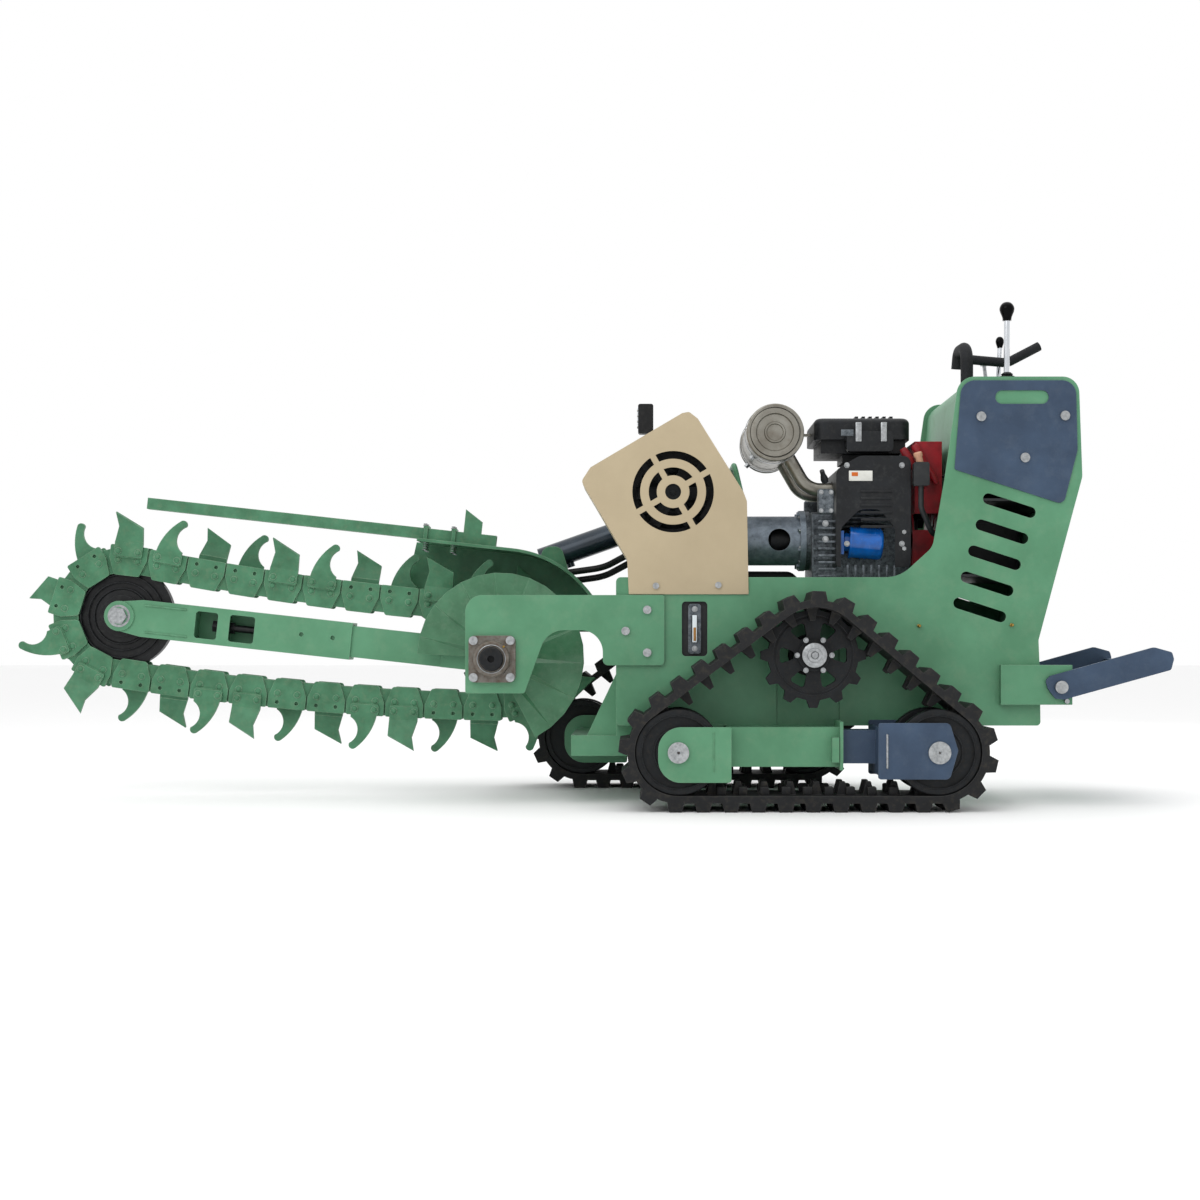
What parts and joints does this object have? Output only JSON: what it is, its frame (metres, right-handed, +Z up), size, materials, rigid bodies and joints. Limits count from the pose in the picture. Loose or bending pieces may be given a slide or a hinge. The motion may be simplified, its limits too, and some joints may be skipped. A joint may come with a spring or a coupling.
{
  "type": "trencher",
  "caption": "Tracked pedestrian trencher with a digging chain on a lifting boom, spoil auger, twin-cylinder engine, console levers and fold-up operator platform.",
  "frame": {"origin": "middle of the footprint of the whole machine's box, on the ground", "axes": "+X towards the operator's platform, -X towards the digging nose, +Y away from the near track (the side with the oil level gauge and cream cooler cover), +Z up"},
  "size_m": [3.0024, 0.938, 1.2776],
  "materials": {
    "green_paint": "satin enamel over shot-blasted steel, slightly worn",
    "cream_paint": "satin powder coat",
    "slate_paint": "fine-textured dark blue-grey powder coat",
    "black_paint": "satin black enamel",
    "green_steel": "enamel over hardened tool steel",
    "dark_iron": "dark machined iron",
    "bare_steel": "zinc-plated steel",
    "bearing_iron": "cast iron with light rust",
    "chrome": "polished chrome",
    "muffler_steel": "heat-tinted pressed steel",
    "alloy": "die-cast aluminium",
    "engine_plastic": "grained black plastic",
    "red_plastic": "red moulded plastic",
    "blue_can": "gloss blue can",
    "track_rubber": "moulded rubber",
    "hose_rubber": "wire-braid hose cover",
    "tank_plastic": "blow-moulded polyethylene",
    "grip_rubber": "moulded grip rubber"
  },
  "bodies": {
    "root": {"side_plate_near": "green_paint", "side_plate_far": "green_paint", "belly_frame": "green_paint", "tower_shell": "green_paint", "tower_cover_plates": "slate_paint", "oil_level_gauge": "alloy", "oil_tank": "tank_plastic", "cooler_cover": "cream_paint", "oil_cooler": "alloy", "lifting_bail": "green_paint", "work_lamp": "black_paint", "headshaft_bracket_near": "green_paint", "headshaft_bracket_far": "green_paint", "headshaft_bearings": "bearing_iron", "cylinder_mast": "green_paint", "track_belt_near": "track_rubber", "track_belt_far": "track_rubber", "track_frames": "green_paint", "track_tensioners": "slate_paint", "idler_axles": "bare_steel", "hydraulic_motors": "dark_iron", "engine_block": "alloy", "engine_shroud": "engine_plastic", "blower_housing": "red_plastic", "air_cleaner": "engine_plastic", "oil_filter": "blue_can", "muffler": "muffler_steel", "coupling_drum": "dark_iron", "hydraulic_pump": "alloy", "battery": "tank_plastic", "fuel_tank": "tank_plastic", "hydraulic_hoses": "hose_rubber", "handlebar": "grip_rubber", "chassis_bolts": "bare_steel"},
    "boom": {"digging_chain": "green_steel", "hook_cutters": "green_steel", "wing_cutters": "green_steel", "boom_inner_beam": "green_paint", "boom_outer_channel": "green_paint", "tension_bolt": "black_paint", "nose_axle": "bare_steel", "chain_guard": "green_paint", "restraint_bar": "green_paint"},
    "drive_shaft": {"headshaft": "dark_iron", "auger": "green_paint"},
    "nose_wheel": {"nose_roller": "black_paint"},
    "cylinder_rod": {"lift_rod": "chrome"},
    "cylinder_barrel": {"lift_barrel": "slate_paint"},
    "sprocket_near": {"track_sprocket_near": "dark_iron"},
    "sprocket_far": {"track_sprocket_far": "dark_iron"},
    "wheel_front_near": {"front_idler_near": "dark_iron"},
    "wheel_rear_near": {"rear_idler_near": "dark_iron"},
    "wheel_front_far": {"front_idler_far": "dark_iron"},
    "wheel_rear_far": {"rear_idler_far": "dark_iron"},
    "crank": {"crankshaft": "dark_iron"},
    "fan": {"cooler_fan": "engine_plastic"},
    "platform": {"stand_platform": "slate_paint"},
    "lever_drive": {"drive_lever": "chrome"},
    "lever_boom": {"boom_lever": "chrome"},
    "lever_throttle": {"throttle_lever": "bare_steel"}
  },
  "joints": [
    {"name": "boom_lift", "type": "hinge", "parent": "root", "child": "boom", "pos_m": [-0.19614, 0.095, 0.367], "axis": [0, -1, 0], "range_deg": [0, 55]},
    {"name": "cylinder_swing", "type": "hinge", "parent": "root", "child": "cylinder_rod", "pos_m": [0.38261, 0.229, 0.80744], "axis": [0, -1, 0], "range_deg": [-6.01, 0]},
    {"name": "cylinder_stroke", "type": "slide", "parent": "cylinder_rod", "child": "cylinder_barrel", "axis": [-0.9432, 0, -0.3322], "range_m": [0, 0.2776]},
    {"name": "headshaft_spin", "type": "hinge", "parent": "root", "child": "drive_shaft", "pos_m": [-0.19614, 0.095, 0.367], "axis": [0, -1, 0], "continuous": true},
    {"name": "nose_roller_spin", "type": "hinge", "parent": "boom", "child": "nose_wheel", "pos_m": [-1.22596, 0.095, 0.47997], "axis": [0, -1, 0], "continuous": true},
    {"name": "sprocket_near_spin", "type": "hinge", "parent": "root", "child": "sprocket_near", "pos_m": [0.59637, -0.366, 0.377], "axis": [0, -1, 0], "continuous": true},
    {"name": "front_idler_near_spin", "type": "hinge", "parent": "root", "child": "wheel_front_near", "pos_m": [0.26487, -0.366, 0.144], "axis": [0, -1, 0], "continuous": true},
    {"name": "rear_idler_near_spin", "type": "hinge", "parent": "root", "child": "wheel_rear_near", "pos_m": [0.88987, -0.366, 0.144], "axis": [0, -1, 0], "continuous": true},
    {"name": "sprocket_far_spin", "type": "hinge", "parent": "root", "child": "sprocket_far", "pos_m": [0.34136, 0.366, 0.377], "axis": [0, -1, 0], "continuous": true},
    {"name": "front_idler_far_spin", "type": "hinge", "parent": "root", "child": "wheel_front_far", "pos_m": [0.00987, 0.366, 0.144], "axis": [0, -1, 0], "continuous": true},
    {"name": "rear_idler_far_spin", "type": "hinge", "parent": "root", "child": "wheel_rear_far", "pos_m": [0.63487, 0.366, 0.144], "axis": [0, -1, 0], "continuous": true},
    {"name": "crankshaft_spin", "type": "hinge", "parent": "root", "child": "crank", "pos_m": [0.67287, 0, 0.678], "axis": [1, 0, 0], "continuous": true},
    {"name": "fan_spin", "type": "hinge", "parent": "root", "child": "fan", "pos_m": [0.25587, -0.216, 0.786], "axis": [0, -1, 0], "continuous": true},
    {"name": "platform_fold", "type": "hinge", "parent": "root", "child": "platform", "pos_m": [1.21986, 0, 0.297], "axis": [0, -1, 0], "range_deg": [0, 70]},
    {"name": "drive_lever_tilt", "type": "hinge", "parent": "root", "child": "lever_drive", "pos_m": [1.10787, -0.18, 1.015], "axis": [0, 1, 0], "range_deg": [-12, 12]},
    {"name": "boom_lever_tilt", "type": "hinge", "parent": "root", "child": "lever_boom", "pos_m": [1.10787, -0.06, 1.015], "axis": [0, 1, 0], "range_deg": [-10, 10]},
    {"name": "throttle_tilt", "type": "hinge", "parent": "root", "child": "lever_throttle", "pos_m": [1.10787, 0.02, 1.015], "axis": [0, 1, 0], "range_deg": [-10, 10]}
  ],
  "couplings": [
    {"joint": "cylinder_swing", "follows": "boom_lift", "ratio": -0.10835},
    {"joint": "cylinder_stroke", "follows": "boom_lift", "m_per_rad": 0.28898},
    {"joint": "nose_roller_spin", "follows": "headshaft_spin", "ratio": 0.84671},
    {"joint": "front_idler_near_spin", "follows": "sprocket_near_spin", "ratio": 1.0974},
    {"joint": "rear_idler_near_spin", "follows": "sprocket_near_spin", "ratio": 1.0974},
    {"joint": "front_idler_far_spin", "follows": "sprocket_far_spin", "ratio": 1.0974},
    {"joint": "rear_idler_far_spin", "follows": "sprocket_far_spin", "ratio": 1.0974}
  ]
}
